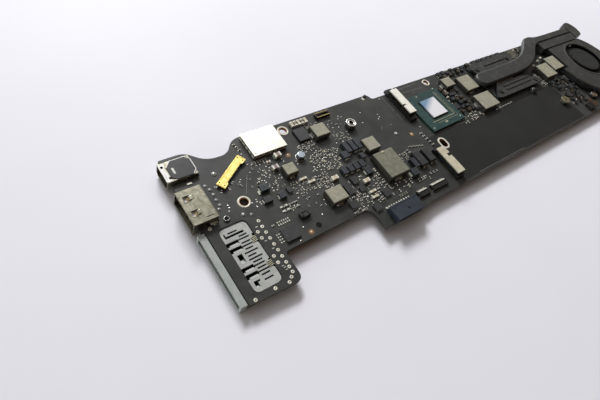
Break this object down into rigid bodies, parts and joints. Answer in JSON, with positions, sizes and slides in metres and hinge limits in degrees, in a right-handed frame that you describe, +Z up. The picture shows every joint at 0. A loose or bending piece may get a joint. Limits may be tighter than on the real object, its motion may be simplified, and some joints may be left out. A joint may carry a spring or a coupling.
{
  "type": "laptop main board with heat sink and blower",
  "caption": "Bare main board of a thin laptop with ports, card reader, shielded parts, chips, a heat pipe with fins and a blower.",
  "frame": {"origin": "centre of the footprint, on the surface that the board lies on", "axes": "+X from the port end to the blower end, +Y to the straight back edge, +Z up out of the component side"},
  "size_m": [0.2684, 0.0586, 0.008],
  "materials": {
    "solder_mask": "satin dark solder mask over glass laminate",
    "steel": "pressed steel, warm reflections",
    "reader_metal": "pressed pale metal",
    "bright_tin": "bright tin plate",
    "gold": "thin gold flash",
    "reader_plastic": "pale grey-green moulding",
    "white_plastic": "white moulding",
    "black_plastic": "black moulding",
    "mold_compound": "matt chip moulding compound",
    "cream_plastic": "pale connector moulding",
    "blue_plastic": "dark blue-grey moulding",
    "ferrite": "pressed iron powder, grey-tan",
    "green_laminate": "green chip carrier",
    "dark_laminate": "dark chip carrier",
    "silicon": "polished bare silicon",
    "copper": "copper",
    "black_metal": "matt black painted copper and aluminium",
    "polyimide": "orange-brown polyimide film"
  },
  "bodies": {
    "board": {"main_board": "solder_mask", "sd_front_frame": "reader_plastic", "sd_reader_tray": "steel", "sd_reader_cover": "reader_metal", "sd_contact_block": "black_plastic", "usb_shell": "steel", "usb_tongue": "white_plastic", "display_port_shell": "steel", "display_port_tongue": "black_plastic", "display_port_pad": "black_plastic", "shield_can": "bright_tin", "shielded_chip": "mold_compound", "link_connector_base": "black_plastic", "link_connector_cover": "gold", "board_to_board_connector": "black_plastic", "wireless_card_connector": "black_plastic", "wireless_card_connector_cap": "cream_plastic", "ssd_connector": "black_plastic", "ssd_connector_cap": "cream_plastic", "battery_connector": "blue_plastic", "flex_connector_1": "black_plastic", "flex_connector_2": "black_plastic", "chipset_substrate": "green_laminate", "chipset_die": "silicon", "processor_substrate": "dark_laminate", "processor_die": "silicon", "charger_chip": "mold_compound", "power_manager_chip": "mold_compound", "memory_chip_1": "mold_compound", "memory_chip_2": "mold_compound", "inductor_1": "ferrite", "inductor_2": "ferrite", "inductor_3": "ferrite", "inductor_4": "ferrite", "inductor_5": "ferrite", "inductor_6": "ferrite", "inductor_7": "ferrite", "inductor_8": "ferrite", "inductor_9": "ferrite", "inductor_10": "ferrite", "tantalum_capacitor_1": "mold_compound", "tantalum_capacitor_2": "mold_compound", "wireless_card_post": "steel", "spacer_post": "bright_tin", "ssd_screw_post": "bright_tin", "heat_sink_base": "copper", "clamp_plate_upper": "black_metal", "clamp_plate_lower": "black_metal", "heat_pipe": "black_metal", "fin_stack": "black_metal", "heat_sink_end_bracket": "black_metal", "fan_tray": "black_plastic", "fan_cover": "black_metal", "fan_stator": "copper", "fan_board_screw": "bright_tin", "fan_flex_tail": "polyimide", "fan_connector": "black_plastic"},
    "impeller": {"fan_impeller": "black_plastic"},
    "flex_1_latch": {"flex_latch_1": "black_plastic"},
    "flex_2_latch": {"flex_latch_2": "black_plastic"}
  },
  "joints": [
    {"name": "impeller_spin", "type": "hinge", "parent": "board", "child": "impeller", "pos_m": [0.11326, 0.00203, 0.0036], "axis": [0, 0, 1], "continuous": true},
    {"name": "flex_1_latch_flip", "type": "hinge", "parent": "board", "child": "flex_1_latch", "pos_m": [-0.04184, -0.02282, 0.00432], "axis": [-1, 0, 0], "range_deg": [0, 90]},
    {"name": "flex_2_latch_flip", "type": "hinge", "parent": "board", "child": "flex_2_latch", "pos_m": [-0.05094, -0.02282, 0.00432], "axis": [-1, 0, 0], "range_deg": [0, 90]}
  ]
}
